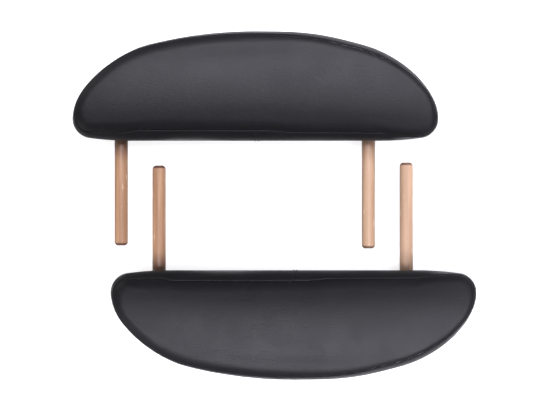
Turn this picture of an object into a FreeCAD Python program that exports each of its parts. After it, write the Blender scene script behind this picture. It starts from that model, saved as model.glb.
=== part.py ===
import FreeCAD, Part

import math
import os

from FreeCAD import Vector

# A pair of half-moon side extensions for a wooden massage table. Each pad is a plywood board with
# a foam cushion in a sewn cover. Two round wooden dowels stand out of its straight side, each in a
# block under the board, and plug into bores in the table's side rail. Sizes are in millimetres.
#
# A pad is drawn in a frame of its own: its straight side lies on X at y = 0, its curved side
# reaches y = pad_depth, and z = 0 is the underside of the blocks that it stands on. The left pad
# then moves to +Y, and the right pad is its mirror image on the other side.

# How the pair lies, with the dowels of each pad pointing at the other pad.
pads_apart = 212.0  # between the two straight sides
pads_shift = 62.4  # the right pad is this much further to +X, so that the dowels pass each other

# The outline of a pad: tangent arcs from the middle of the curved side round to the straight side.
# Each turn is the direction of the outline, in degrees, where one arc hands over to the next.
pad_length = 600.0
pad_depth = 180.0
crown_turn = 13.8
shoulder_turn = 52.0
nose_turn = 90.0
corner_turn = 172.0
nose_radius = 82.0
corner_radius = 32.0
bow_radius = 485.0

# Board, foam and cover, from below.
block_height = 38.0
board_thickness = 10.0
foam_height = 50.0
leather = 1.1  # imitation leather with its cloth backing
cover_gap = 0.3  # between the cover and what it holds
crown_line = 112.0  # from the straight side to the line along which the cushion is thickest
crown_fall = 12.0  # from that line down to the straight side
top_round = 24.0  # how far the rounded edge reaches in over the cushion
side_height = 24.0  # from the underside of the board to where the round begins
round_steps = 3  # flats that make up the round along the cushion's top edge
lean_width = 13.0  # how far the band leans in along the straight side, from there to the seam
seam_drop = 15.0  # from the cushion's highest line down to the seam
hem_width = 18.0  # of the cover turned in under the board

# The cloth that closes the underside, and the staples that hold it and the hem.
lining_thickness = 0.6
lining_inset = 8.0
lining_gap = 1.0  # round each block
staple_width = 10.0
staple_wire_width = 1.2
staple_wire_thickness = 0.6
staple_leg = 8.0
staple_inset = 13.0
staple_pitch = 100.0  # the spacing that each arc of the staple line comes closest to

# The blocks that carry the dowels.
block_width = 56.0
block_setback = 22.0  # from the straight side to the block's front face
block_rear_gap = 18.4  # from the block's rear face to the outline beside the foot block
block_corner_cut = 16.0  # off each rear corner
block_easing = 2.0

# The dowels. The foot one is the left one of each pad, the head one is the right one.
dowel_diameter = 22.0
dowel_axis_height = 19.0
dowel_tip_chamfer = 3.0
foot_dowel_from_end = 78.5  # from the end of the pad to the dowel's axis
head_dowel_from_end = 114.0
foot_dowel_reach = 172.0  # beyond the straight side
head_dowel_reach = 177.0
tenon_step = 1.5  # the shoulder, between the radius of the dowel and that of its tenon
tenon_fit = 0.1  # radial, between the tenon and its bore
bore_floor_gap = 2.0  # left for glue beyond the tenon's end
bore_rear_wall = 18.0  # from the bore's floor to the block's rear face

# Countersunk wood screws. Three hold each block to the board, two beside the tenon's bore and one
# behind it, and one more locks the tenon from below.
screw_diameter = 4.0
screw_head_diameter = 8.0
screw_head_height = 2.4
screw_point_length = 4.0
screw_point_diameter = 1.2
screw_sides = 6  # flats that make up a screw's round form
screw_fit = 0.1  # all round a screw in its hole
board_screw_length = 30.0
side_screw_from_side = 8.0  # from the block's side faces
side_screw_from_front = 18.0
rear_screw_from_rear = 9.0
lock_screw_length = 21.0
lock_screw_from_front = 36.0
lock_screw_sunk = 1.0

overcut = 1.0  # how far a cutting form reaches past the face that it opens

board_bottom = block_height
board_top = board_bottom + board_thickness
foam_top = board_top + foam_height
cover_top_height = foam_top + cover_gap + leather
cover_bottom = board_bottom - leather
lining_bottom = cover_bottom - lining_thickness
seam_height = cover_top_height - seam_drop
round_bottom = board_bottom + side_height
foot_dowel_x = -pad_length / 2 + foot_dowel_from_end
head_dowel_x = pad_length / 2 - head_dowel_from_end


def solve_long_radii():
    """Radii of the two flattest arcs, which make the outline as long and as deep as the pad."""
    crown, shoulder = math.radians(crown_turn), math.radians(shoulder_turn)
    nose, corner = math.radians(nose_turn), math.radians(corner_turn)
    span = pad_length / 2 - nose_radius * (math.sin(nose) - math.sin(shoulder))
    drop = pad_depth - nose_radius * (math.cos(shoulder) - math.cos(nose))
    drop -= corner_radius * (math.cos(nose) - math.cos(corner))
    drop -= bow_radius * (math.cos(corner) + 1)
    crown_span, shoulder_span = math.sin(crown), math.sin(shoulder) - math.sin(crown)
    crown_drop, shoulder_drop = 1 - math.cos(crown), math.cos(crown) - math.cos(shoulder)
    scale = crown_span * shoulder_drop - shoulder_span * crown_drop
    crown_radius = (span * shoulder_drop - shoulder_span * drop) / scale
    shoulder_radius = (crown_span * drop - span * crown_drop) / scale
    return crown_radius, shoulder_radius


def outline(inset):
    """The pad's closed outline, moved in by inset all round: the same centres, smaller radii."""
    turns = [math.radians(t) for t in (crown_turn, shoulder_turn, nose_turn, corner_turn, 180.0)]
    radii = [*solve_long_radii(), nose_radius, corner_radius, bow_radius]
    centre = Vector(0, pad_depth - radii[0], 0)

    def point(radius, turn, side):
        across = side * (centre.x + (radius - inset) * math.sin(turn))
        return Vector(across, centre.y + (radius - inset) * math.cos(turn), 0)

    crown = [point(radii[0], side * turns[0], 1) for side in (-1, 0, 1)]
    right, left = [], []
    for i in range(1, len(radii)):
        towards = Vector(math.sin(turns[i - 1]), math.cos(turns[i - 1]), 0)
        centre = centre + towards * (radii[i - 1] - radii[i])
        arc_turns = (turns[i - 1], (turns[i - 1] + turns[i]) / 2, turns[i])
        right.append(Part.Arc(*[point(radii[i], t, 1) for t in arc_turns]).toShape())
        left.append(Part.Arc(*[point(radii[i], t, -1) for t in arc_turns]).toShape())
    base = Part.makeLine(point(bow_radius, math.pi, 1), point(bow_radius, math.pi, -1))
    return Part.Wire([Part.Arc(*crown).toShape(), *right, base, *reversed(left)])


def outline_reach(x):
    """How far the outline reaches from the straight side, at one place along the pad."""
    across = Part.makeLine(Vector(x, 0, 0), Vector(x, pad_depth, 0))
    return Part.Face(outline(0)).common(across).BoundBox.YMax


block_rear = outline_reach(foot_dowel_x - block_width / 2) - block_rear_gap
bore_depth = block_rear - block_setback - bore_rear_wall
tenon_length = bore_depth - bore_floor_gap


def slab(inset, bottom, top):
    """The outline, moved in by inset, as a plate from bottom to top."""
    plate = Part.Face(outline(inset)).extrude(Vector(0, 0, top - bottom))
    return plate.translated(Vector(0, 0, bottom))


def beyond_lean(inset):
    """What lies beyond the plane in which the band leans in along the straight side."""
    up = Vector(0, lean_width, seam_height - round_bottom).normalize()
    inward = Vector(0, up.z, -up.y)
    foot = Vector(-pad_length, 0, round_bottom) + inward * inset
    corners = [foot - up * pad_depth, foot + up * pad_depth]
    corners += [corner - inward * pad_depth for corner in reversed(corners)]
    side = Part.Face(Part.makePolygon([*corners, corners[0]]))
    return side.extrude(Vector(2 * pad_length, 0, 0))


def cushion_body(inset, bottom):
    """A cushion's outer shape, moved in by inset: upright sides, a rounded edge, a crowned top and
    a straight side that leans in."""
    reach, rise = top_round - inset, cover_top_height - round_bottom - inset
    rings = [outline(inset).translated(Vector(0, 0, bottom))]
    for step in range(round_steps + 1):
        turn = math.pi / 2 * step / round_steps
        ring = outline(inset + reach * (1 - math.cos(turn)))
        rings.append(ring.translated(Vector(0, 0, round_bottom + rise * math.sin(turn))))
    body = Part.makeLoft(rings, True, True)
    crown_radius = (crown_line ** 2 + crown_fall ** 2) / (2 * crown_fall)
    start = Vector(-pad_length, crown_line, cover_top_height - crown_radius)
    crown = Part.makeCylinder(crown_radius - inset, 2 * pad_length, start, Vector(1, 0, 0))
    return body.common(crown).cut(beyond_lean(inset))


def cover_halves():
    """The sewn cover, cut along its seam: the top panel, and the side band with its hem."""
    shell = cushion_body(0, cover_bottom).cut(cushion_body(leather, board_bottom))
    shell = shell.cut(slab(hem_width, cover_bottom - overcut, board_bottom + overcut))
    above = slab(-overcut, seam_height, cover_top_height + overcut)
    return shell.common(above), shell.cut(above)


def foam_pad():
    return cushion_body(leather + cover_gap, board_top)


def screw(length, clearance=0, mouth=0):
    """A countersunk screw along -Z, its head's top at z = 0. With a clearance all round and a mouth
    above the head it is the screw's hole, which is straight to its end and has no point."""
    head, shank = screw_head_diameter / 2 + clearance, screw_diameter / 2 + clearance
    levels = [(head, mouth)] if mouth else []
    levels += [(head, 0), (shank, -screw_head_height)]
    if clearance:
        levels.append((shank, -length - clearance))
    else:
        levels += [(shank, screw_point_length - length), (screw_point_diameter / 2, -length)]
    turns = [2 * math.pi * side / screw_sides for side in range(screw_sides + 1)]
    rings = []
    for radius, height in levels:
        rings.append([Vector(radius * math.cos(t), radius * math.sin(t), height) for t in turns])
    faces = [Part.Face(Part.makePolygon(ring)) for ring in (rings[0], rings[-1])]
    for upper, lower in zip(rings, rings[1:]):
        for side in range(screw_sides):
            corners = [*upper[side:side + 2], *reversed(lower[side:side + 2]), upper[side]]
            faces.append(Part.Face(Part.makePolygon(corners)))
    return Part.makeSolid(Part.makeShell(faces))


def board_screws(clearance=0, mouth=0):
    """The screws that go down through the board into the two blocks."""
    side = block_width / 2 - side_screw_from_side
    beside = block_setback + side_screw_from_front
    behind = block_rear - rear_screw_from_rear
    screws = []
    for dowel_x in (foot_dowel_x, head_dowel_x):
        for x, y in ((dowel_x - side, beside), (dowel_x + side, beside), (dowel_x, behind)):
            place = Vector(x, y, board_top)
            screws.append(screw(board_screw_length, clearance, mouth).translated(place))
    return Part.makeCompound(screws)


def lock_screw(dowel_x, clearance=0, mouth=0):
    """The screw that goes up through a block into the tenon."""
    place = Vector(dowel_x, block_setback + lock_screw_from_front, lock_screw_sunk)
    pointing_down = screw(lock_screw_length, clearance, mouth)
    return pointing_down.rotated(Vector(0, 0, 0), Vector(1, 0, 0), 180).translated(place)


def staple_frames():
    """Where the staples stand: a point on the staple line and the direction of the line there."""
    frames = []
    for edge in outline(staple_inset).Edges:
        count = max(1, round(edge.Length / staple_pitch))
        for i in range(count):
            at = edge.getParameterByLength(edge.Length * (i + 0.5) / count)
            frames.append((edge.valueAt(at), edge.tangentAt(at)))
    return frames


def place_staple(shape, point, direction):
    """A staple, drawn along X at the origin, moved to one place on the staple line."""
    turn = math.degrees(math.atan2(direction.y, direction.x))
    turned = shape.rotated(Vector(0, 0, 0), Vector(0, 0, 1), turn)
    return turned.translated(Vector(point.x, point.y, lining_bottom))


def staples():
    """U-shaped wire staples, driven up through the lining and the hem into the board."""
    half, wire = staple_width / 2, staple_wire_thickness
    profile = [
        Vector(-half, 0, -wire),
        Vector(half, 0, -wire),
        Vector(half, 0, staple_leg),
        Vector(half - wire, 0, staple_leg),
        Vector(half - wire, 0, 0),
        Vector(wire - half, 0, 0),
        Vector(wire - half, 0, staple_leg),
        Vector(-half, 0, staple_leg),
    ]
    face = Part.Face(Part.makePolygon(profile + profile[:1]))
    one = face.extrude(Vector(0, staple_wire_width, 0)).translated(Vector(0, -staple_wire_width / 2, 0))
    return Part.makeCompound([place_staple(one, *frame) for frame in staple_frames()])


def base_board():
    board = slab(leather + cover_gap, board_bottom, board_top)
    return board.cut(board_screws(screw_fit, overcut))


def block_prism(dowel_x, grow, bottom, top):
    """A block's plan, square in front and with its rear corners cut off, larger by grow."""
    half, front, rear = block_width / 2 + grow, block_setback - grow, block_rear + grow
    cut = block_corner_cut + grow * (2 - math.sqrt(2))
    right = [Vector(half, front, 0), Vector(half, rear - cut, 0), Vector(half - cut, rear, 0)]
    left = [Vector(-corner.x, corner.y, 0) for corner in reversed(right)]
    plan = Part.Face(Part.makePolygon([*right, *left, right[0]]))
    plan.translate(Vector(dowel_x, 0, bottom))
    return plan.extrude(Vector(0, 0, top - bottom))


def dowel_block(dowel_x):
    """A block with its bore for a tenon, open in front, and the holes of its screws."""
    block = block_prism(dowel_x, 0, 0, block_height)
    underside = []
    for edge in block.Edges:
        if edge.BoundBox.ZMax < block_easing:
            underside.append(edge)
    block = block.makeChamfer(block_easing, underside)
    bore_radius = dowel_diameter / 2 - tenon_step + tenon_fit
    start = Vector(dowel_x, block_setback - overcut, dowel_axis_height)
    bore = Part.makeCylinder(bore_radius, bore_depth + overcut, start, Vector(0, 1, 0))
    lock_hole = lock_screw(dowel_x, screw_fit, lock_screw_sunk + overcut)
    return block.cut(Part.makeCompound([bore, board_screws(screw_fit), lock_hole]))


def dowel(dowel_x, reach):
    """A round dowel with a shoulder: its tenon is glued into the block as far as the shoulder."""
    radius = dowel_diameter / 2
    shoulder = Vector(dowel_x, block_setback, dowel_axis_height)
    free = Part.makeCylinder(radius, block_setback + reach, shoulder, Vector(0, -1, 0))
    tip = []
    for edge in free.Edges:
        if edge.BoundBox.YMax < 0:
            tip.append(edge)
    free = free.makeChamfer(dowel_tip_chamfer, tip)
    tenon = Part.makeCylinder(radius - tenon_step, tenon_length, shoulder, Vector(0, 1, 0))
    return free.fuse(tenon).cut(lock_screw(dowel_x, screw_fit))


def lining():
    """The cloth under the board, cut out round the two blocks."""
    cloth = slab(lining_inset, lining_bottom, cover_bottom)
    for dowel_x in (foot_dowel_x, head_dowel_x):
        cut_out = block_prism(dowel_x, lining_gap, lining_bottom - overcut, cover_bottom + overcut)
        cloth = cloth.cut(cut_out)
    return cloth


def pad_pieces():
    """Every piece of one pad, by name, in the pad's own frame."""
    cover_top, side_band = cover_halves()
    locks = [lock_screw(foot_dowel_x), lock_screw(head_dowel_x)]
    return {
        "cover_top": cover_top,
        "side_band": side_band,
        "foam_pad": foam_pad(),
        "base_board": base_board(),
        "lining": lining(),
        "staples": staples(),
        "foot_dowel": dowel(foot_dowel_x, foot_dowel_reach),
        "head_dowel": dowel(head_dowel_x, head_dowel_reach),
        "foot_block": dowel_block(foot_dowel_x),
        "head_block": dowel_block(head_dowel_x),
        "board_screws": board_screws(),
        "lock_screws": Part.makeCompound(locks),
    }


os.makedirs("parts", exist_ok=True)
for piece_name, piece in pad_pieces().items():
    left = piece.translated(Vector(-pads_shift / 2, pads_apart / 2, 0))
    mirrored = piece.mirror(Vector(0, 0, 0), Vector(0, 1, 0))
    right = mirrored.translated(Vector(pads_shift / 2, -pads_apart / 2, 0))
    left.exportStep("parts/left_" + piece_name + ".step")
    right.exportStep("parts/right_" + piece_name + ".step")
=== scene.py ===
import math

import bmesh
import bpy
import numpy as np
from mathutils import Matrix, Vector


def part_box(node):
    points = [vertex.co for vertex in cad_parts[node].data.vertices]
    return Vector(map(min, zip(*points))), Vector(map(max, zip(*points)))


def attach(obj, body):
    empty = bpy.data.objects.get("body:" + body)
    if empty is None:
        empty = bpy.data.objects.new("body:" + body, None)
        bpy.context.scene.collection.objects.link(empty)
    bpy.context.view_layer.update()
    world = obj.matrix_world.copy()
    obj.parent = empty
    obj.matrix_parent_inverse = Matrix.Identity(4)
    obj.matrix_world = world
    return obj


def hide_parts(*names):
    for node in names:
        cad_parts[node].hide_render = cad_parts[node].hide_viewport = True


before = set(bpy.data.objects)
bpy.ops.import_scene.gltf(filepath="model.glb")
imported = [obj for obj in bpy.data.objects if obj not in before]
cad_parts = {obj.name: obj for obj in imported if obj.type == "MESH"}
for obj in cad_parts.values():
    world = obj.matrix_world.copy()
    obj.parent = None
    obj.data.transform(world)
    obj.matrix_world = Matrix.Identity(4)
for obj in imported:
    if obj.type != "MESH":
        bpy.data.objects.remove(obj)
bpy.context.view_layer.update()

bpy.ops.object.select_all(action="DESELECT")

# Camera: straight above the pair, far enough away for the long dowels to keep their width. The
# picture is as wide as the space that it shows at the height of the pads' outlines.
outline_height = 0.062
picture_width = 0.9020
camera_distance = 8.0
camera_data = bpy.data.cameras.new("camera")
camera_data.sensor_width = 36.0
camera_data.lens = camera_data.sensor_width * camera_distance / picture_width
camera_data.clip_end = 100.0
camera = bpy.data.objects.new("camera", camera_data)
camera.location = (0.0008, -0.0008, outline_height + camera_distance)
bpy.context.scene.collection.objects.link(camera)
bpy.context.scene.camera = camera
bpy.context.scene.view_settings.view_transform = "Standard"


# Light: each pad has a long narrow soft lamp above the half with the curved side and a smaller one
# beyond it, both a little to the right, so that the cushion is bright there and falls off to black
# towards its straight side. A weak lamp at each left corner draws a thin light line on the edge.
def soft_panel(name, place, aim, width, depth, watts, spread, colour):
    """A rectangular lamp at one place, facing another, that the camera doesn't see. Its light spreads
    over an angle in degrees."""
    data = bpy.data.lights.new(name, "AREA")
    data.shape = "RECTANGLE"
    data.size, data.size_y = width, depth
    data.energy = watts
    data.color = colour
    data.spread = math.radians(spread)
    lamp = bpy.data.objects.new(name, data)
    lamp.location = place
    lamp.rotation_euler = (Vector(aim) - Vector(place)).to_track_quat("-Z", "Y").to_euler()
    lamp.visible_camera = False
    bpy.context.scene.collection.objects.link(lamp)


daylight = (0.97, 0.97, 1.08)
above_x = 0.34  # of the lamp and of its aim, so that its long side lies along the pad
lamps = [
    # name, place, aim, width, depth, watts, spread, colour
    ("above_pad", (above_x, 0.33, 0.90), (above_x, 0.27, 0.09), 1.52, 0.26, 3.97, 44, daylight),
    ("beyond_pad", (0.60, 0.80, 0.80), (0.20, 0.30, 0.09), 0.9, 0.25, 1.0, 36, daylight),
    ("left_corner", (-1.2, 1.0, 0.45), (-0.1, 0.15, 0.05), 0.8, 0.4, 6, 180, (1, 1, 1)),
]
for side in (1, -1):
    for name, (x, y, z), (aim_x, aim_y, aim_z), *rest in lamps:
        soft_panel(name, (x, side * y, z), (aim_x, side * aim_y, aim_z), *rest)


class Link:
    """An output socket in a material. The operators on it add Math nodes, so a formula reads as one."""

    def __init__(self, tree, socket):
        self.tree, self.socket = tree, socket

    def node(self, kind, inputs, settings=None, output=0):
        """Adds a shader node, with its settings first and then its sockets' values or links."""
        node = self.tree.nodes.new("ShaderNode" + kind)
        for name, value in (settings or {}).items():
            setattr(node, name, value)
        for name, value in inputs.items():
            if isinstance(value, Link):
                self.tree.links.new(value.socket, node.inputs[name])
            else:
                node.inputs[name].default_value = value
        return Link(self.tree, node.outputs[output])

    def maths(self, operation, *values):
        """A Math node on these values, or on this one alone."""
        return self.node("Math", dict(enumerate(values or (self,))), {"operation": operation})

    def __add__(self, other):
        return self.maths("ADD", self, other)

    def __mul__(self, other):
        return self.maths("MULTIPLY", self, other)

    def __sub__(self, other):
        return self.maths("SUBTRACT", self, other)

    def __rsub__(self, other):
        return self.maths("SUBTRACT", other, self)

    __radd__, __rmul__ = __add__, __mul__

    def band(self, low, high):
        """0 below low, 1 above high, with a smooth step between them."""
        settings = {"interpolation_type": "SMOOTHSTEP"}
        return self.node("MapRange", {"Value": self, "From Min": low, "From Max": high}, settings)

    def mixed(self, first, second):
        """The first colour where this is 0 and the second where it is 1."""
        settings = {"data_type": "RGBA"}
        return self.node("Mix", {0: self, 6: first, 7: second}, settings, output=2)


def new_material(name, **constants):
    """A material with one Principled BSDF, its unchanging sockets set, and its Object coordinates."""
    material = bpy.data.materials.new(name)
    material.use_nodes = True
    tree = material.node_tree
    shader = tree.nodes["Principled BSDF"]
    for socket, value in constants.items():
        shader.inputs[socket.replace("_", " ")].default_value = value
    place = tree.nodes.new("ShaderNodeTexCoord")
    return material, shader, Link(tree, place.outputs["Object"])


def feed(link, shader, socket):
    link.tree.links.new(link.socket, shader.inputs[socket])


# Floor: a plain white sheet that fades into a white surround and keeps the pair's soft shadow. Both
# glow white where the camera sees them, and the floor also where something glossy mirrors it.
floor_grey = 0.45
floor_glow = 0.75
mirrored_glow = 0.45
surround_light = 0.32
bpy.ops.mesh.primitive_plane_add(size=60, location=(0, 0, -0.0005))
floor = bpy.context.object
floor.name = "floor"
floor_material, floor_shader, floor_place = new_material("white_floor", Roughness=1.0,
                                                         Specular_IOR_Level=0.0)
floor_shader.inputs["Base Color"].default_value = (floor_grey, floor_grey, floor_grey, 1)
camera_ray = floor_place.node("LightPath", {}, output="Is Camera Ray")
glossy_ray = floor_place.node("LightPath", {}, output="Is Glossy Ray")
floor_shader.inputs["Emission Color"].default_value = (1, 1, 1, 1)
feed(camera_ray * floor_glow + glossy_ray * mirrored_glow, floor_shader, "Emission Strength")
floor.data.materials.append(floor_material)
world = bpy.data.worlds.new("surround")
world.use_nodes = True
bpy.context.scene.world = world
world_tree = world.node_tree
world_paths = world_tree.nodes.new("ShaderNodeLightPath")
seen = Link(world_tree, world_paths.outputs["Is Camera Ray"])
background = world_tree.nodes["Background"]
background.inputs["Color"].default_value = (1, 1, 1, 1)
feed(seen * (1 - surround_light) + surround_light, background, "Strength")

# The pad's outline, as the board is cut: tangent arcs from the middle of the curved side round to
# the straight side. Each turn is the direction of the outline where one arc hands over to the next.
pad_low, pad_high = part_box("left_side_band")
pad_length = pad_high.x - pad_low.x
pad_depth = pad_high.y - pad_low.y
pad_middle = (pad_low.x + pad_high.x) / 2
straight_side = pad_low.y
pads_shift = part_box("right_side_band")[0].x - pad_low.x
outline_turns = np.radians([0, 13.8, 52, 90, 172, 180])
nose_radius = 0.082
corner_radius = 0.032
bow_radius = 0.485
arc_points = 200
straight_points = 400


def toward(turn):
    return np.stack([np.sin(turn), np.cos(turn)], axis=-1)


def long_radii():
    """Radii of the two flattest arcs, which make the outline as long and as deep as the pad."""
    sine, cosine = np.sin(outline_turns), np.cos(outline_turns)
    span = pad_length / 2 - nose_radius * (sine[3] - sine[2])
    drop = pad_depth - nose_radius * (cosine[2] - cosine[3])
    drop -= corner_radius * (cosine[3] - cosine[4]) + bow_radius * (cosine[4] - cosine[5])
    spans = [sine[1], sine[2] - sine[1]]
    drops = [1 - cosine[1], cosine[1] - cosine[2]]
    return list(np.linalg.solve([spans, drops], [span, drop]))


def walk_outline():
    """Fine points round the pad, against the clock from the middle of its curved side, in the pad's
    own frame, and the angle of the outward normal at each."""
    radii = [*long_radii(), nose_radius, corner_radius, bow_radius]
    centre = np.array([0, pad_depth - radii[0]])
    points, turns = [], []
    for i, radius in enumerate(radii):
        if i:
            centre = centre + toward(outline_turns[i]) * (radii[i - 1] - radius)
        for turn in np.linspace(outline_turns[i], outline_turns[i + 1], arc_points):
            points.append(centre + radius * toward(turn))
            turns.append(turn)
    left = np.array(points) * [-1, 1]
    right = np.array(points[::-1])
    between = np.linspace(left[-1], right[0], straight_points)[1:-1]
    angles = math.pi / 2 + np.array(turns)
    straight = np.full(len(between), angles[-1])
    return (np.concatenate([left, between, right]),
            np.concatenate([angles, straight, math.tau + math.pi - angles[::-1]]))


# The stuffing makes the curved side a little fuller on the right than the board under it.
fullness, fullest_x, full_reach = 0.0022, 0.095, 0.090
fine_points, fine_angles = walk_outline()
off_fullest = np.clip(np.abs(fine_points[:, 0] - fullest_x) / full_reach, 0, 1)
fuller = fullness * np.cos(off_fullest * math.pi / 2) ** 2 * (np.sin(fine_angles) > 0)
fine_points += fuller[:, None] * np.stack([np.cos(fine_angles), np.sin(fine_angles)], axis=-1)
fine_steps = np.linalg.norm(np.diff(fine_points, axis=0), axis=1)
fine_lengths = np.concatenate([[0], np.cumsum(fine_steps)])
outline_length = fine_lengths[-1]


def outline_at(lengths):
    """Points and outward normals at these lengths along the outline, in the pad's own frame."""
    lengths = np.mod(lengths, outline_length)
    points = np.stack([np.interp(lengths, fine_lengths, fine_points[:, i]) for i in (0, 1)], axis=-1)
    angles = np.interp(lengths, fine_lengths, fine_angles)
    return points, np.stack([np.cos(angles), np.sin(angles)], axis=-1)


# How far inside the outline the sewn seam lies, seen from above, at places round the pad. The band
# is broad along the straight side, and the panel nearly hides it at the left of the curved side.
# Sizes that vary round the pad change smoothly over a reach on both sides of each place.
blend_steps = 17
blend_reach = 0.006
seam_places = [
    # side of the pad, distance along it from the middle, seam inset
    ("curved", 0.016, 0.0050),
    ("curved", -0.049, 0.0045),
    ("curved", -0.130, 0.0030),
    ("curved", -0.250, 0.0027),
    ("curved", -0.2995, 0.0030),
    ("straight", -0.292, 0.0068),
    ("straight", -0.268, 0.0105),
    ("straight", -0.208, 0.0140),
    ("straight", -0.200, 0.0170),
    ("straight", 0.027, 0.0170),
    ("straight", 0.033, 0.0160),
    ("straight", 0.045, 0.0158),
    ("straight", 0.051, 0.0138),
    ("straight", 0.204, 0.0130),
    ("straight", 0.231, 0.0072),
    ("straight", 0.257, 0.0032),
    ("straight", 0.285, 0.0028),
    ("curved", 0.2995, 0.0030),
    ("curved", 0.271, 0.0058),
    ("curved", 0.235, 0.0080),
    ("curved", 0.150, 0.0080),
    ("curved", 0.090, 0.0066),
]


def length_of(side, x):
    """The length along the outline at which it passes one place."""
    curved = fine_angles % math.tau < math.pi
    misses = np.abs(fine_points[:, 0] - x) + (curved != (side == "curved"))
    return fine_lengths[np.argmin(misses)]


def round_pad(lengths, places):
    """Smooth values at these lengths through (side, x, value) places."""
    knots = sorted((length_of(side, x), value) for side, x, value in places)
    known = np.array(knots)
    known = np.concatenate([known - [outline_length, 0], known, known + [outline_length, 0]])
    window = np.hanning(blend_steps)[1:-1]
    spread = np.linspace(-blend_reach, blend_reach, len(window))
    total = sum(w * np.interp(lengths + d, known[:, 0], known[:, 1]) for w, d in zip(window, spread))
    return total / window.sum()


# The cushion's form: the height of its top, which is highest along a line nearer to the curved
# side, how the panel rolls down to the seam, and how the band bulges out below it. Above the hem the
# side is hollow in some places, and the seam's two shoulders are rounder on the right.
top_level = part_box("left_cover_top")[1].z - 0.0014
ridge_line = 0.125
inner_fall = 0.0110
outer_fall = 0.0020
end_fall = 0.0045
ridge_reach = 0.205
ridge_depth = 0.088
widest_height = 0.062
roll_power = 2.4
seam_lean = np.radians(58)  # of the way out of the seam, halfway between the panel and the band
band_start = np.radians(50)  # where the band's bulge begins, at the seam
hollow_from, hollow_full = 0.040, 0.060
seam_drops = [
    ("curved", 0.0, 0.0065),
    ("curved", -0.100, 0.0070),
    ("curved", -0.200, 0.0070),
    ("curved", -0.2995, 0.0075),
    ("straight", -0.270, 0.0080),
    ("straight", -0.200, 0.0050),
    ("straight", 0.180, 0.0050),
    ("straight", 0.250, 0.0075),
    ("curved", 0.2995, 0.0055),
    ("curved", 0.255, 0.0050),
    ("curved", 0.100, 0.0050),
]
roll_widths = [
    ("curved", 0.0, 0.015),
    ("curved", -0.100, 0.017),
    ("curved", -0.200, 0.018),
    ("curved", -0.2995, 0.017),
    ("straight", -0.250, 0.020),
    ("straight", 0.0, 0.018),
    ("straight", 0.250, 0.018),
    ("curved", 0.2995, 0.010),
    ("curved", 0.255, 0.010),
    ("curved", 0.100, 0.011),
]
hollows = [
    ("curved", -0.190, 0.0),
    ("curved", -0.240, 0.0014),
    ("curved", -0.2900, 0.0014),
    ("curved", -0.2999, 0.0),
    ("straight", -0.175, 0.0),
    ("straight", -0.130, 0.0018),
    ("straight", -0.090, 0.0018),
    ("straight", -0.045, 0.0),
    ("straight", 0.222, 0.0),
    ("straight", 0.240, 0.0024),
    ("straight", 0.252, 0.0020),
    ("straight", 0.270, 0.0),
    ("curved", 0.2995, 0.0),
    ("curved", 0.290, 0.0014),
    ("curved", 0.265, 0.0),
]
shoulder_sizes = [
    ("curved", -0.060, 0.0021),
    ("straight", 0.0, 0.0021),
    ("curved", 0.270, 0.0021),
    ("curved", 0.220, 0.0032),
    ("curved", 0.020, 0.0032),
]


def top_height(x, y):
    inner = np.clip((ridge_line - y) / ridge_line, 0, None)
    outer = np.clip((y - ridge_line) / (pad_depth - ridge_line), 0, None)
    ends = np.abs(x) / (pad_length / 2)
    return top_level - inner_fall * inner ** 3 - outer_fall * outer ** 2 - end_fall * ends ** 3


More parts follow.
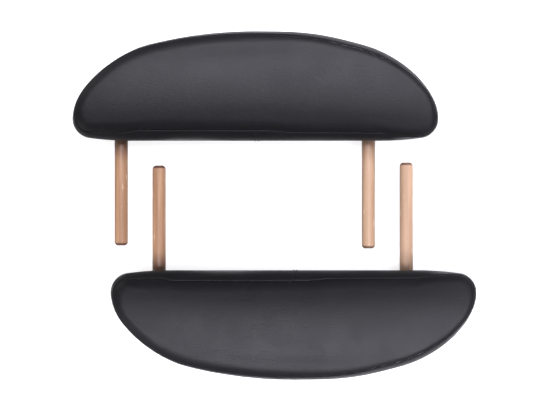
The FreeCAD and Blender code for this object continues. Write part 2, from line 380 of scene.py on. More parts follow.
class PadShape:
    """The cushion's surface at a set of lengths round the pad, in the pad's own frame."""

    def __init__(self, lengths):
        self.lengths = lengths
        self.points, self.normals = outline_at(lengths)
        self.inset = round_pad(lengths, seam_places)
        self.seam_drop = round_pad(lengths, seam_drops)
        self.roll_width = round_pad(lengths, roll_widths)
        self.shoulder = round_pad(lengths, shoulder_sizes)
        self.hollow = round_pad(lengths, hollows)
        self.seam = self.points - self.inset[:, None] * self.normals
        self.seam_height = top_height(*self.seam.T) - self.seam_drop
        self.target = np.stack([self.seam[:, 0] * ridge_reach / (pad_length / 2),
                                np.full(len(lengths), ridge_depth)], axis=-1)
        self.reach = -np.sum((self.target - self.seam) * self.normals, axis=1)
        rise = np.full(len(lengths), math.sin(seam_lean))
        self.outward = np.column_stack([self.normals * math.cos(seam_lean), rise])

    def panel(self, share):
        """A ring of the top panel, a share of the way from the seam to the ridge."""
        share = np.broadcast_to(share, len(self.lengths))
        flat = self.seam + (self.target - self.seam) * share[:, None]
        inside = share * self.reach
        roll = self.seam_drop * np.clip(1 - inside / self.roll_width, 0, 1) ** roll_power
        return np.column_stack([flat, top_height(*flat.T) - roll])

    def panel_near(self, distance):
        """A ring of the top panel at one distance from the seam."""
        return self.panel(distance / self.reach)

    def panel_beyond(self, distance, last, step):
        """A ring between the one at a distance from the seam and the one at the last share."""
        near = distance / self.reach
        return self.panel(near + (last - near) * step)

    def wall(self, height, inset=0.0):
        """A ring below the widest point, drawn in where the side is hollow above its hem."""
        share = np.clip((height - hollow_from) / (hollow_full - hollow_from), 0, 1)
        inset = inset + self.hollow[:, None] * share
        flat = self.points - inset * self.normals
        return np.column_stack([flat, np.full(len(self.lengths), height)])

    def band(self, share):
        """A ring of the side band, a share of the way from the seam down to the widest point."""
        angle = band_start * (1 - share)
        across = (1 - math.cos(angle)) / (1 - math.cos(band_start))
        across = (self.inset - self.hollow) * across + self.hollow
        rise = (self.seam_height - widest_height) * math.sin(angle) / math.sin(band_start)
        return np.column_stack([self.points - across[:, None] * self.normals, widest_height + rise])

    def band_near(self, distance):
        """A ring of the side band at one distance from the seam."""
        shares = np.linspace(0, 1, 60)
        rings = np.array([self.band(share) for share in shares])
        steps = np.linalg.norm(np.diff(rings, axis=0), axis=2)
        runs = np.concatenate([np.zeros((1, len(self.lengths))), np.cumsum(steps, axis=0)])
        share = np.array([np.interp(distance, run, shares) for run in runs.T])
        whole = share * (len(shares) - 1)
        below = np.minimum(whole.astype(int), len(shares) - 2)
        part = (whole - below)[:, None]
        columns = np.arange(len(self.lengths))
        return rings[below, columns] * (1 - part) + rings[below + 1, columns] * part


evening_rounds = 80


def grid_fill(ring, ids, side, height, first):
    """Fills a ring with a grid of even quads, with side quads across each end of the pad. Gives the
    new points, whose ids start at first, and the faces. A point's height is a function of x, y."""
    count = len(ring)
    half = (count - 2 * side) // 4
    long_side = 2 * half
    top = np.arange(half, half - long_side - 1, -1) % count
    bottom = np.arange(half + side, half + side + long_side + 1)
    left = np.arange(half + side, half - 1, -1)
    right = np.arange(half + side + long_side, half + 2 * side + long_side + 1) % count
    u = np.linspace(0, 1, long_side + 1)[None, :, None]
    v = np.linspace(0, 1, side + 1)[:, None, None]
    flat = ring[:, :2]
    grid = (1 - v) * flat[bottom][None] + v * flat[top][None]
    grid = grid + (1 - u) * flat[left][:, None] + u * flat[right][:, None]
    grid = grid - (1 - u) * (1 - v) * flat[bottom[0]] - u * (1 - v) * flat[bottom[-1]]
    grid = grid - (1 - u) * v * flat[top[0]] - u * v * flat[top[-1]]
    for _ in range(evening_rounds):
        beside = grid[:-2, 1:-1] + grid[2:, 1:-1] + grid[1:-1, :-2] + grid[1:-1, 2:]
        grid[1:-1, 1:-1] = beside / 4
    numbers = np.zeros((side + 1, long_side + 1), int)
    numbers[1:-1, 1:-1] = first + np.arange((side - 1) * (long_side - 1)).reshape(side - 1, -1)
    numbers[0], numbers[-1] = ids[bottom], ids[top]
    numbers[:, 0], numbers[:, -1] = ids[left], ids[right]
    inner = grid[1:-1, 1:-1].reshape(-1, 2)
    corners = [numbers[:-1, :-1], numbers[:-1, 1:], numbers[1:, 1:], numbers[1:, :-1]]
    faces = np.stack([c.ravel() for c in corners], axis=1)
    return np.column_stack([inner, height(*inner.T)]), faces


def on_pad(points):
    """From the pad's own frame to its place in the pair."""
    return np.asarray(points) + [pad_middle, straight_side, 0]


def pad_mesh(name, rings, side=0, height=None, floor_height=None):
    """A mesh of quads between rings, listed upwards or inwards. The last ring is filled by a grid
    with side quads at each end and a height for each place, and the first one by a flat grid."""
    count = len(rings[0])
    points = [*rings]
    ids = np.arange(count * len(rings)).reshape(len(rings), count)
    ahead = np.roll(ids, -1, axis=1)
    faces = [np.stack([ids[:-1], ahead[:-1], ahead[1:], ids[1:]], axis=-1).reshape(-1, 4)]
    used = ids.size
    if height:
        inner, quads = grid_fill(rings[-1], ids[-1], side, height, used)
        points.append(inner)
        faces.append(quads)
        used += len(inner)
    if floor_height:
        inner, quads = grid_fill(rings[0], ids[0], side, lambda x, y: x * 0 + floor_height, used)
        points.append(inner)
        faces.append(quads[:, ::-1])
    mesh = bpy.data.meshes.new(name)
    mesh.from_pydata(on_pad(np.concatenate(points)).tolist(), [], np.concatenate(faces).tolist())
    mesh.shade_smooth()
    piece = bpy.data.objects.new(name, mesh)
    bpy.context.scene.collection.objects.link(piece)
    return piece


def select_only(piece):
    bpy.ops.object.select_all(action="DESELECT")
    piece.select_set(True)
    bpy.context.view_layer.objects.active = piece


def apply_modifier(piece, kind, **settings):
    """Adds a modifier to a piece, with its settings, and applies it."""
    modifier = piece.modifiers.new(kind.lower(), kind)
    for name, value in settings.items():
        setattr(modifier, name, value)
    select_only(piece)
    bpy.ops.object.modifier_apply(modifier=modifier.name)


def corners_of(piece):
    points = np.empty(len(piece.data.vertices) * 3)
    piece.data.vertices.foreach_get("co", points)
    return points.reshape(-1, 3)


def move_corners(piece, points):
    piece.data.vertices.foreach_set("co", np.asarray(points).ravel())
    piece.data.update()


# Foam pad: the soft polyurethane foam that fills the cushion, glued to the board. It is modelled a
# little small and swollen as cloth under pressure, held at the board and drawn in at the seam.
foam_bottom = 0.0482
foam_inset = 0.0017
foam_columns = 176
foam_side = 16
foam_swell = 0.0040
foam_evening = 0.014  # how far the cover's stretch evens the swelling out
swell_steps = 20
roll_end = 0.021  # from the seam, where the fine rings of the panel end
grid_share = 0.55  # of the way from the seam to the ridge, where the grid begins
foam_shape = PadShape(np.arange(foam_columns) / foam_columns * outline_length)
foam_rings = [foam_shape.wall(foam_bottom, inset) for inset in (0.040, 0.026, 0.012, 0.0015)]
foam_rings += [foam_shape.wall(height) for height in (0.0500, 0.0545)]
foam_rings += [foam_shape.band(share) for share in (1, 0.75, 0.5, 0.25)]
foam_seam = len(foam_rings) * foam_columns
foam_rings += [foam_shape.panel_near(distance) for distance in (0.0, 0.006, 0.013, roll_end)]
foam_rings += [foam_shape.panel_beyond(roll_end, grid_share, step) for step in (0.33, 0.66, 1)]
foam_form = pad_mesh("left_cut_foam", foam_rings, foam_side, top_height, foam_bottom)
apply_modifier(foam_form, "DISPLACE", strength=-foam_inset, mid_level=0.0)
foam_at_rest = corners_of(foam_form)


def swelling():
    """How far each corner of the foam moves when it is blown up as cloth."""
    blown = foam_form.copy()
    blown.data = foam_form.data.copy()
    bpy.context.scene.collection.objects.link(blown)
    held = blown.vertex_groups.new(name="held")
    low = [i for i, point in enumerate(foam_at_rest) if point[2] < foam_bottom + 0.003]
    held.add(low, 1.0, "REPLACE")
    held.add(list(range(foam_seam, foam_seam + foam_columns)), 0.9, "REPLACE")
    cloth = blown.modifiers.new("swell", "CLOTH")
    cloth.settings.vertex_group_mass = held.name
    cloth.settings.quality = 6
    cloth.settings.mass = 0.3
    cloth.settings.tension_stiffness = 60
    cloth.settings.compression_stiffness = 60
    cloth.settings.shear_stiffness = 30
    cloth.settings.bending_stiffness = 6
    cloth.settings.use_pressure = True
    cloth.settings.uniform_pressure_force = 4
    cloth.settings.effector_weights.gravity = 0
    cloth.point_cache.frame_end = swell_steps
    for step in range(1, swell_steps + 1):
        bpy.context.scene.frame_set(step)
    select_only(blown)
    bpy.ops.object.modifier_apply(modifier=cloth.name)
    moved = corners_of(blown) - foam_at_rest
    bpy.data.objects.remove(blown)
    bpy.context.scene.frame_set(1)
    return moved


foam_swelling = swelling()


def follow_foam(piece):
    """Carries a piece along as the foam swells, by the mean of the swelling of the foam around it."""
    points = corners_of(piece)
    squares = np.sum(foam_at_rest ** 2, axis=1)
    moved = []
    for some in np.array_split(points, len(points) // 2000 + 1):
        apart = np.sum(some ** 2, axis=1)[:, None] + squares - 2 * some @ foam_at_rest.T
        weights = np.exp(-apart / (2 * foam_evening ** 2))
        moved.append(weights @ foam_swelling / weights.sum(axis=1, keepdims=True))
    moved = np.concatenate(moved)
    far = np.linalg.norm(moved, axis=1, keepdims=True) + 1e-9
    move_corners(piece, points + moved / far * foam_swell * np.tanh(far / foam_swell))


def settle(piece, material, node=None):
    """Gives a piece of the left pad its material, its body and the node that it stands for, and
    makes its mirror image on the right pad, with a mesh of its own. Gives both."""
    piece.data.materials.clear()
    piece.data.materials.append(material)
    twin = bpy.data.objects.new(piece.name.replace("left_", "right_"), piece.data.copy())
    bpy.context.scene.collection.objects.link(twin)
    move_corners(twin, corners_of(piece) * [1, -1, 1] + [pads_shift, 0, 0])
    twin.data.flip_normals()
    for each, side in ((piece, "left"), (twin, "right")):
        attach(each, side + "_pad")
        if node:
            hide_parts(side + "_" + node)
    return piece, twin


foam_stuff, foam_shader, foam_place = new_material("grey_foam", Roughness=0.95, Specular_IOR_Level=0.2)
foam_cells = foam_place.node("TexVoronoi", {"Vector": foam_place, "Scale": 1100.0})
foam_colour = foam_cells.band(0.1, 0.8).mixed((0.40, 0.41, 0.43, 1), (0.27, 0.28, 0.30, 1))
feed(foam_colour, foam_shader, "Base Color")
foam_pores = foam_cells.node("Bump", {"Height": foam_cells, "Strength": 0.6, "Distance": 0.0004})
feed(foam_pores, foam_shader, "Normal")
follow_foam(foam_form)
apply_modifier(foam_form, "SUBSURF", levels=1, render_levels=1)
for piece in settle(foam_form, foam_stuff, "foam_pad"):
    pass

# Top panel of the cover: black imitation leather with a fine pebbled grain, sewn to the side band
# all the way round. Its edge rolls down into the seam and ripples a little beside the stitches.
columns = 480
panel_side = 44
seam_allowance = 0.0015
ripple_size = 0.00022
ripple_reach = 0.008
leather_thickness = 0.0011
near_seam = (0.0, 0.00007, 0.0003, 0.0007, 0.0013, 0.0021, 0.0030, 0.0043, 0.0060, 0.0080)
joint_place = length_of("straight", 0.003)
joint_spread = np.array([0.0003, 0.0007, 0.0011, 0.0016, 0.0022, 0.0029, 0.0037, 0.0047])
lengths = np.arange(columns) / columns * outline_length
lengths = np.sort(np.concatenate([lengths, joint_place - joint_spread, joint_place + joint_spread]))
cover_shape = PadShape(lengths)
ripple_waves = ((0.4, 61, 0.3), (0.3, 83, 2.1), (0.25, 104, 4.4), (0.15, 147, 1.2))
ripples = np.zeros(len(lengths))
for size, waves, start in ripple_waves:
    ripples += size * np.sin(math.tau * waves * lengths / outline_length + start)


def sewn(ring, distance):
    """A ring at one distance from the seam, rolled down towards the stitches and rippled."""
    away = np.clip(cover_shape.shoulder - distance, 0, None)
    roll = cover_shape.shoulder - np.sqrt(cover_shape.shoulder ** 2 - away ** 2)
    depth = roll + ripple_size * ripples * math.exp(-distance / ripple_reach)
    return ring - cover_shape.outward * depth[:, None]


def tucked(ring):
    """The edge of the seam allowance, which lies inside the seam."""
    return ring - cover_shape.outward * (cover_shape.shoulder + seam_allowance)[:, None]


leather, leather_shader, leather_place = new_material("black_leather", Specular_IOR_Level=0.15)
leather_drift = leather_place.node("TexNoise", {"Vector": leather_place, "Scale": 700.0}, output=1)
leather_drift = leather_drift.node("VectorMath", {0: leather_drift, 3: 0.0009}, {"operation": "SCALE"})
leather_bent = leather_drift.node("VectorMath", {0: leather_drift, 1: leather_place}, {"operation": "ADD"})
pebbles = leather_bent.node("TexVoronoi", {"Vector": leather_bent, "Scale": 950.0},
                            {"feature": "DISTANCE_TO_EDGE"}).band(0.0, 0.22)
leather_blotches = leather_place.node("TexNoise", {"Vector": leather_place, "Scale": 22.0, "Detail": 4.0})
leather_blotches = leather_blotches.band(0.3, 0.7)
leather_tone = leather_blotches.mixed((0.0048, 0.0045, 0.0056, 1), (0.0062, 0.0058, 0.0072, 1))
feed(pebbles.mixed((0.0034, 0.0032, 0.0040, 1), leather_tone), leather_shader, "Base Color")
feed(leather_blotches * 0.05 + 0.44, leather_shader, "Roughness")
leather_long = leather_place.node("Mapping", {"Vector": leather_place, "Scale": (0.25, 1.0, 1.0)})
creases = leather_long.node("TexNoise", {"Vector": leather_long, "Scale": 420.0, "Detail": 1.0})
creases = creases.band(0.58, 0.74)
leather_height = pebbles + leather_place.node("TexNoise", {"Vector": leather_place, "Scale": 2500.0}) * 0.3
leather_height = leather_height - creases * 2.4
feed(leather_height.node("Bump", {"Height": leather_height, "Strength": 0.45, "Distance": 0.0001}),
     leather_shader, "Normal")

panel_rings = [tucked(cover_shape.panel_near(0))]
for distance in (*near_seam, 0.0105, 0.0135, 0.0170, roll_end):
    panel_rings.append(sewn(cover_shape.panel_near(distance), distance))
for step in np.linspace(0, 1, 11)[1:]:
    panel_rings.append(cover_shape.panel_beyond(roll_end, grid_share, step))
top_panel = pad_mesh("left_sewn_top", panel_rings, panel_side, top_height)
follow_foam(top_panel)
apply_modifier(top_panel, "SOLIDIFY", thickness=leather_thickness, offset=-1)
for piece in settle(top_panel, leather, "cover_top"):
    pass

# Side band of the cover: a strip of the same imitation leather round the side, its two ends sewn
# together in the middle of the straight side. Its lower edge is turned in under the board as a hem.
hem_height = pad_low.z
joint_valley, joint_bulges = 0.0012, 0.0009
from_joint = (lengths - joint_place) * 1000
joint_fold = joint_valley * np.exp(-(from_joint / 0.7) ** 2)
joint_fold = joint_fold - joint_bulges * np.exp(-((np.abs(from_joint) - 2.4) / 1.2) ** 2)
joint_fold = joint_fold[:, None] * np.column_stack([cover_shape.normals, np.zeros(len(lengths))])
band_rings = [tucked(cover_shape.band_near(0))]
for distance in near_seam:
    band_rings.append(sewn(cover_shape.band_near(distance), distance) - joint_fold * (distance > 0.001))
for share in (0.42, 0.52, 0.62, 0.72, 0.82, 0.91, 1):
    band_rings.append(cover_shape.band(share) - joint_fold)
for height in (0.058, 0.0545, 0.0515, 0.0485, 0.0450, 0.0415):
    band_rings.append(cover_shape.wall(height, 0.0003) - joint_fold)
for height, inset in ((0.0393, 0.0004), (0.0380, 0.0009), (0.0372, 0.0018), (hem_height, 0.0030)):
    band_rings.append(cover_shape.wall(height, inset))
for inset in (0.006, 0.009, 0.012, 0.015, 0.018):
    band_rings.append(cover_shape.wall(hem_height, inset))
band = pad_mesh("left_sewn_band", band_rings[::-1])
follow_foam(band)
apply_modifier(band, "SOLIDIFY", thickness=leather_thickness, offset=-1)
for piece in settle(band, leather, "side_band"):
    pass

# Seam thread: a row of short stitches down in the seam between the panel and the band, in black
# polyester thread. One stitch is modelled, with its ends dipping into the leather, and copied round.
stitch_pitch = 0.0042
stitch_length = 0.0029
thread_radius = 0.0006
stitch_depth = 0.0004


def select_faces(piece, chosen):
    """Opens a piece in edit mode with the faces selected whose middle and normal pass a test."""
    select_only(piece)
    bpy.ops.object.mode_set(mode="EDIT")
    bpy.ops.mesh.select_mode(type="FACE")
    bpy.ops.mesh.select_all(action="DESELECT")
    mesh = bmesh.from_edit_mesh(piece.data)
    for face in mesh.faces:
        face.select_set(chosen(face.calc_center_median(), face.normal))
    bmesh.update_edit_mesh(piece.data)


def finish_edit():
    bpy.ops.object.mode_set(mode="OBJECT")
    bpy.ops.object.transform_apply(location=True, rotation=True, scale=True)


def copies(name, one, places):
    """One piece made of copies of another, each turned and moved by a matrix. The model goes."""
    mesh = bmesh.new()
    for place in places:
        start = len(mesh.verts)
        mesh.from_mesh(one.data)
        mesh.verts.ensure_lookup_table()
        bmesh.ops.transform(mesh, matrix=place, verts=mesh.verts[start:])
    piece = bpy.data.objects.new(name, bpy.data.meshes.new(name))
    mesh.to_mesh(piece.data)
    mesh.free()
    bpy.context.scene.collection.objects.link(piece)
    bpy.data.objects.remove(one)
    return piece


bpy.ops.object.select_all(action="DESELECT")
bpy.ops.mesh.primitive_cylinder_add(vertices=6, radius=thread_radius, depth=stitch_length * 0.6,
                                    rotation=(0, math.pi / 2, 0))
stitch = bpy.context.object
finish_edit()
for end in (1, -1):
    select_faces(stitch, lambda middle, normal: normal.x * end > 0.9)
    bpy.ops.mesh.extrude_region_move(
        TRANSFORM_OT_translate={"value": (end * stitch_length * 0.2, 0, -thread_radius * 1.5)})
    bpy.ops.transform.resize(value=(0.7, 0.7, 0.7))
    finish_edit()
stitch.data.shade_smooth()
stitch_count = round(outline_length / stitch_pitch)
stitch_shape = PadShape((np.arange(stitch_count) + 0.5) / stitch_count * outline_length)
stitch_points = stitch_shape.band_near(0) - stitch_depth * stitch_shape.outward
stitch_frames = []
for point, out, normal in zip(on_pad(stitch_points), stitch_shape.outward, stitch_shape.normals):
    along, out = Vector((-normal[1], normal[0], 0)), Vector(out)
    frame_of_stitch = Matrix((along, out.cross(along), out)).transposed().to_4x4()
    stitch_frames.append(Matrix.Translation(point) @ frame_of_stitch)
seam_thread = copies("left_seam_thread", stitch, stitch_frames)
follow_foam(seam_thread)
thread, thread_shader, thread_place = new_material("dark_thread", Roughness=0.9, Specular_IOR_Level=0.1)
thread_fibres = thread_place.node("TexNoise", {"Vector": thread_place, "Scale": 3000.0})
thread_colour = thread_fibres.mixed((0.0030, 0.0030, 0.0034, 1), (0.0060, 0.0060, 0.0066, 1))
feed(thread_colour, thread_shader, "Base Color")
settle(seam_thread, thread)

# Base board: birch plywood, cut to the pad's outline. It shows its face grain and its layers.
plywood, plywood_shader, plywood_place = new_material("plywood", Roughness=0.6, Specular_IOR_Level=0.3)
ply_long = plywood_place.node("Mapping", {"Vector": plywood_place, "Scale": (0.05, 1.0, 1.0)})
ply_grain = ply_long.node("TexNoise", {"Vector": ply_long, "Scale": 260.0, "Detail": 4.0})
ply_height = plywood_place.node("SeparateXYZ", {"Vector": plywood_place}, output=2)
ply_layers = (ply_height * (math.tau / 0.0028)).maths("SINE").band(-0.2, 0.2) * 0.35
feed((ply_grain * 0.5 + ply_layers).mixed((0.62, 0.46, 0.29, 1), (0.40, 0.25, 0.13, 1)),
     plywood_shader, "Base Color")
for side in ("left_", "right_"):
    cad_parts[side + "base_board"].data.materials[0] = plywood

# Lining: thin black non-woven cloth stretched over the underside and the cover's hem, stapled down
# round its edge, with an opening cut out for each block.
lining_inset = 0.008
lining_thickness = 0.0006
lining_columns = 240
lining_gap = 0.001
lining_low, lining_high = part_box("left_lining")
lining_level = (lining_low.z + lining_high.z) / 2


def lining_height(x, y):
    """The cloth lies drawn up a little between the hem's edges, with slack waves between staples."""
    waves = np.sin(x * 95 + np.sin(y * 40) * 1.5) * np.sin(y * 70 + 1) * 0.00012
    return lining_level + 0.0006 + waves


lining_shape = PadShape(np.arange(lining_columns) / lining_columns * outline_length)
lining_rings = [lining_shape.wall(lining_level, inset) for inset in (lining_inset, 0.011, 0.014, 0.0170)]
for inset in (0.0195, 0.0225):
    ring = lining_shape.wall(0, inset)
    ring[:, 2] = lining_height(*ring[:, :2].T) - 0.0003 * (inset < 0.020)
    lining_rings.append(ring)
lining = pad_mesh("left_stretched_lining", lining_rings, 20, lining_height)
apply_modifier(lining, "SOLIDIFY", thickness=lining_thickness, offset=0)
for block_name in ("left_foot_block", "left_head_block"):
    block_low, block_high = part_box(block_name)
    block_middle = (block_low + block_high) / 2
    grow = Matrix.Diagonal([1 + 2 * lining_gap / (block_high.x - block_low.x)] * 2 + [1.5, 1])
    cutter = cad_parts[block_name].copy()
    cutter.data = cutter.data.copy()
    cutter.parent = None
    cutter.data.transform(Matrix.Translation(block_middle) @ grow @ Matrix.Translation(-block_middle))
    bpy.context.scene.collection.objects.link(cutter)
    apply_modifier(lining, "BOOLEAN", object=cutter, operation="DIFFERENCE", solver="EXACT")
    bpy.data.objects.remove(cutter)
cloth_black, cloth_shader, cloth_place = new_material("black_lining", Roughness=0.85, Specular_IOR_Level=0.3)
cloth_x = cloth_place.node("SeparateXYZ", {"Vector": cloth_place}, output=0)
cloth_y = cloth_place.node("SeparateXYZ", {"Vector": cloth_place}, output=1)
cloth_dots = ((cloth_x + cloth_y) * 2200).maths("SINE") * ((cloth_x - cloth_y) * 2200).maths("SINE")
cloth_dots = cloth_dots.band(0.2, 0.7)
cloth_fibres = cloth_place.node("TexNoise", {"Vector": cloth_place, "Scale": 1500.0, "Detail": 3.0})
feed(cloth_dots.mixed((0.016, 0.016, 0.017, 1), (0.028, 0.028, 0.030, 1)), cloth_shader, "Base Color")
cloth_relief = cloth_fibres * 0.4 - cloth_dots * 0.6
feed(cloth_relief.node("Bump", {"Height": cloth_relief, "Strength": 0.5, "Distance": 0.0002}),
     cloth_shader, "Normal")
for piece, side in zip(settle(lining, cloth_black, "lining"), ("left_", "right_")):
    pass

# Staples: bright wire staples driven up through lining and hem into the board, in a row round the
# edge. One is modelled, a flat crown with two legs folded up from its ends, and copied.
staple_inset = 0.013
staple_pitch = 0.033
staple_width = 0.010
staple_wire = (0.0012, 0.0006)
staple_leg = 0.008
bpy.ops.object.select_all(action="DESELECT")
bpy.ops.mesh.primitive_cube_add(size=1, scale=(staple_width, *staple_wire))
staple = bpy.context.object
finish_edit()
bpy.ops.object.mode_set(mode="EDIT")
for end in (1, -1):
    bpy.ops.mesh.select_all(action="SELECT")
    bpy.ops.mesh.bisect(plane_co=(end * (staple_width / 2 - staple_wire[1]), 0, 0), plane_no=(1, 0, 0))
finish_edit()
leg_start = staple_width / 2 - staple_wire[1]
select_faces(staple, lambda middle, normal: normal.z > 0.9 and abs(middle.x) > leg_start)
bpy.ops.mesh.extrude_region_move(TRANSFORM_OT_translate={"value": (0, 0, staple_leg)})
finish_edit()
apply_modifier(staple, "BEVEL", width=0.00015, segments=2)
staple_count = round((outline_length - math.tau * staple_inset) / staple_pitch)
staple_shape = PadShape((np.arange(staple_count) + 0.5) / staple_count * outline_length)
staple_level = lining_low.z - staple_wire[1] / 2
staple_places = []
for point, normal in zip(on_pad(staple_shape.wall(staple_level, staple_inset)), staple_shape.normals):
    turn = Matrix.Rotation(math.atan2(normal[0], -normal[1]), 4, "Z")
    staple_places.append(Matrix.Translation(point) @ turn)
staple_row = copies("left_staple_row", staple, staple_places)
wire, wire_shader, wire_place = new_material("bright_steel", Metallic=1.0)
wire_smears = wire_place.node("TexNoise", {"Vector": wire_place, "Scale": 900.0})
feed(wire_smears.mixed((0.70, 0.70, 0.69, 1), (0.50, 0.50, 0.50, 1)), wire_shader, "Base Color")
feed(wire_smears * 0.2 + 0.22, wire_shader, "Roughness")
settle(staple_row, wire, "staples")

# Blocks: two pieces of planed pine under the board, screwed on from above, each bored for a tenon.
pine, pine_shader, pine_place = new_material("block_pine", Roughness=0.55, Specular_IOR_Level=0.35)
pine_long = pine_place.node("Mapping", {"Vector": pine_place, "Scale": (1.0, 0.12, 1.0),
                                        "Rotation": (0.02, 0.3, 0.05)})
pine_rings = pine_long.node("TexWave", {"Vector": pine_long, "Scale": 42.0, "Distortion": 5.0,
                                        "Detail": 3.0, "Detail Scale": 0.8}, {"wave_profile": "SAW"}, 1)
pine_fibres = pine_long.node("TexNoise", {"Vector": pine_long, "Scale": 900.0, "Detail": 3.0})
pine_tone = (pine_rings * 0.8 + pine_fibres * 0.35).band(0.15, 1.1)
feed(pine_tone.mixed((0.66, 0.47, 0.27, 1), (0.44, 0.24, 0.10, 1)), pine_shader, "Base Color")
feed(pine_fibres.node("Bump", {"Height": pine_fibres, "Strength": 0.25, "Distance": 0.0002}),
     pine_shader, "Normal")
for side in ("left_", "right_"):
    for block_name in ("foot_block", "head_block"):
        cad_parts[side + block_name].data.materials[0] = pine

# Screws: zinc-plated countersunk wood screws. Those that hold the blocks are hidden in the board.
# The one that locks each dowel shows its cross recess in the underside of the block.
zinc, zinc_shader, zinc_place = new_material("zinc_steel", Metallic=1.0)
zinc_clouds = zinc_place.node("TexNoise", {"Vector": zinc_place, "Scale": 700.0, "Detail": 3.0})
feed(zinc_clouds.mixed((0.62, 0.62, 0.60, 1), (0.44, 0.44, 0.43, 1)), zinc_shader, "Base Color")
feed(zinc_clouds * 0.2 + 0.28, zinc_shader, "Roughness")
for side in ("left_", "right_"):
    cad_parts[side + "board_screws"].data.materials[0] = zinc
screws_low, screws_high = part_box("left_lock_screws")
head_radius = 0.004
head_depth = 0.0024
shank_radius = 0.002
recess_width = 0.0011
point_length = 0.004
bpy.ops.object.select_all(action="DESELECT")
bpy.ops.mesh.primitive_cone_add(vertices=40, radius1=head_radius, radius2=shank_radius,
                                depth=head_depth, location=(0, 0, head_depth / 2))
lock_screw = bpy.context.object
finish_edit()
screw_length = screws_high.z - screws_low.z
for reach, narrowing in ((screw_length - head_depth - point_length, 1), (point_length, 0.3)):
    select_faces(lock_screw, lambda middle, normal: normal.z > 0.9)
    bpy.ops.mesh.extrude_region_move(TRANSFORM_OT_translate={"value": (0, 0, reach)})
    bpy.ops.transform.resize(value=(narrowing, narrowing, 1))
    finish_edit()
for turn in (0, math.pi / 2):
    bpy.ops.object.select_all(action="DESELECT")
    bpy.ops.mesh.primitive_cube_add(size=1, rotation=(0, 0, turn),
                                    scale=(head_radius * 1.15, recess_width, head_depth * 1.3))
    recess = bpy.context.object
    finish_edit()
    select_faces(recess, lambda middle, normal: normal.z > 0.9)
    bpy.ops.transform.resize(value=(0.5, 0.5, 1))
    finish_edit()
    apply_modifier(lock_screw, "BOOLEAN", object=recess, operation="DIFFERENCE", solver="EXACT")
    bpy.data.objects.remove(recess)
apply_modifier(lock_screw, "BEVEL", width=0.00012, segments=2, limit_method="ANGLE")
screw_places = []
for node in ("left_foot_dowel", "left_head_dowel"):
    dowel_low, dowel_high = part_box(node)
    across, along = (dowel_low.x + dowel_high.x) / 2, (screws_low.y + screws_high.y) / 2
    screw_places.append(Matrix.Translation((across, along, screws_low.z)))
lock_screws = copies("left_cross_lock_screws", lock_screw, screw_places)
select_only(lock_screws)
bpy.ops.object.shade_smooth_by_angle(angle=math.radians(35))
settle(lock_screws, zinc, "lock_screws")

# Dowels: two round beech dowels a pad, the foot one browner and the head one paler and longer. Each
# has its end chamfered and a thinner tenon glued into its block as far as the shoulder.
dowel_sides = 72
tip_round = 0.0042
tip_profile = 0.30  # nearly a straight chamfer
tip_ring = 0.001  # from the chamfer to a ring that keeps its soft shading off the dowel's length
tenon_step = 0.0015
# Painted shade: the wood is darkened between these distances from the pad's straight side, as a painted
# shadow of the pad over the dowel's root.
shade_from, shade_to = 0.038, 0.004  # from the pad's straight side
lens_colour = (1.0, 0.80, 0.60, 1)


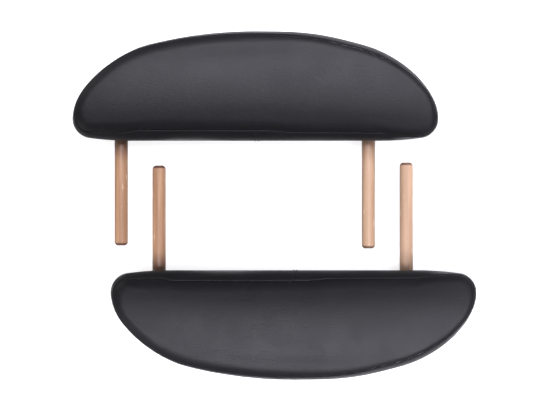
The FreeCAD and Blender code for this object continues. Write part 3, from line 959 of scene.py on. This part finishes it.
def beech(name, pale, deep, fleck, end_grain, painted_shade, painted_shade_share):
    """Steamed beech: long soft streaks, short dark rays, a few pale lenses and darker end grain. Towards the
    pad it is mixed by a share with a painted shade colour, a painted shadow of the pad over the dowel's
    root."""
    wood, shader, place = new_material(name, Specular_IOR_Level=0.38)
    facing = Link(place.tree, place.socket.node.outputs["Normal"])
    end = facing.node("SeparateXYZ", {"Vector": facing}, output=1).maths("ABSOLUTE").band(0.04, 0.35)
    # Painted shade mask: 1 next to the pad, where its shadow would fall on the dowel, 0 further out.
    pad_shade_mask = place.node("SeparateXYZ", {"Vector": place}, output=1).maths("ABSOLUTE")
    pad_shade_mask = pad_shade_mask.band(straight_side - shade_from, straight_side - shade_to)
    stretched = place.node("Mapping", {"Vector": place, "Scale": (1.0, 0.03, 1.0)})
    streaks = stretched.node("TexNoise", {"Vector": stretched, "Scale": 230.0, "Detail": 5.0,
                                          "Distortion": 0.3})
    broad = stretched.node("TexNoise", {"Vector": stretched, "Scale": 75.0, "Detail": 2.0})
    short = place.node("Mapping", {"Vector": place, "Scale": (1.0, 0.16, 1.0)})
    rays = short.node("TexNoise", {"Vector": short, "Scale": 1100.0, "Detail": 1.0}).band(0.66, 0.76)
    lenses = short.node("TexVoronoi", {"Vector": short, "Scale": 130.0}).band(0.16, 0.05)
    tone = (streaks * 0.65 + broad * 0.5).band(0.42, 0.73)
    colour = tone.mixed(pale, deep)
    colour = (rays * 0.65).mixed(colour, fleck)
    colour = (lenses * 0.35).mixed(colour, lens_colour)
    # Painted shadow of the pad over the dowel's root, mixed in by a share.
    colour = (pad_shade_mask * painted_shade_share).mixed(colour, painted_shade)
    feed(end.mixed(colour, end_grain), shader, "Base Color")
    feed(0.42 + streaks * 0.12 + end * 0.2, shader, "Roughness")
    relief = streaks * 0.6 - rays * 0.5
    feed(relief.node("Bump", {"Height": relief, "Strength": 0.3, "Distance": 0.00015}), shader, "Normal")
    return wood


# The last colour and share of each dowel are painted shade: the pad's shadow over its root.
brown_beech = beech("brown_beech", pale=(0.40, 0.227, 0.130, 1), deep=(0.28, 0.149, 0.081, 1),
                    fleck=(0.16, 0.075, 0.04, 1), end_grain=(0.12, 0.058, 0.038, 1),
                    painted_shade=(0.05, 0.022, 0.014, 1), painted_shade_share=0.75)
pale_beech = beech("pale_beech", pale=(0.395, 0.252, 0.161, 1), deep=(0.295, 0.185, 0.116, 1),
                   fleck=(0.20, 0.11, 0.063, 1), end_grain=(0.14, 0.078, 0.049, 1),
                   painted_shade=(0.10, 0.052, 0.033, 1), painted_shade_share=0.42)
for end, wood, slot in (("foot", brown_beech, "brown_beech"), ("head", pale_beech, "pale_beech")):
    dowel_low, dowel_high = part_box("left_" + end + "_dowel")
    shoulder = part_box("left_" + end + "_block")[0].y
    dowel_radius = (dowel_high.z - dowel_low.z) / 2
    middle_of_dowel = ((dowel_low.x + dowel_high.x) / 2, (dowel_low.y + shoulder) / 2,
                       (dowel_low.z + dowel_high.z) / 2)
    bpy.ops.object.select_all(action="DESELECT")
    bpy.ops.mesh.primitive_cylinder_add(vertices=dowel_sides, radius=dowel_radius,
                                        depth=shoulder - dowel_low.y, location=middle_of_dowel,
                                        rotation=(math.pi / 2, 0, 0))
    dowel = bpy.context.object
    dowel.name = "left_turned_" + end + "_dowel"
    finish_edit()
    select_faces(dowel, lambda middle, normal: normal.y > 0.9)
    bpy.ops.mesh.inset(thickness=tenon_step)
    bpy.ops.mesh.extrude_region_move(TRANSFORM_OT_translate={"value": (0, dowel_high.y - shoulder, 0)})
    finish_edit()
    select_faces(dowel, lambda middle, normal: normal.y < -0.9)
    bpy.ops.mesh.bevel(offset=tip_round, segments=6, profile=tip_profile, affect="EDGES")
    bpy.ops.mesh.select_all(action="SELECT")
    bpy.ops.mesh.bisect(plane_co=(0, dowel_low.y + tip_round + tip_ring, 0), plane_no=(0, 1, 0))
    finish_edit()
    bpy.ops.object.shade_smooth_by_angle(angle=math.radians(35))
    settle(dowel, wood, end + "_dowel")
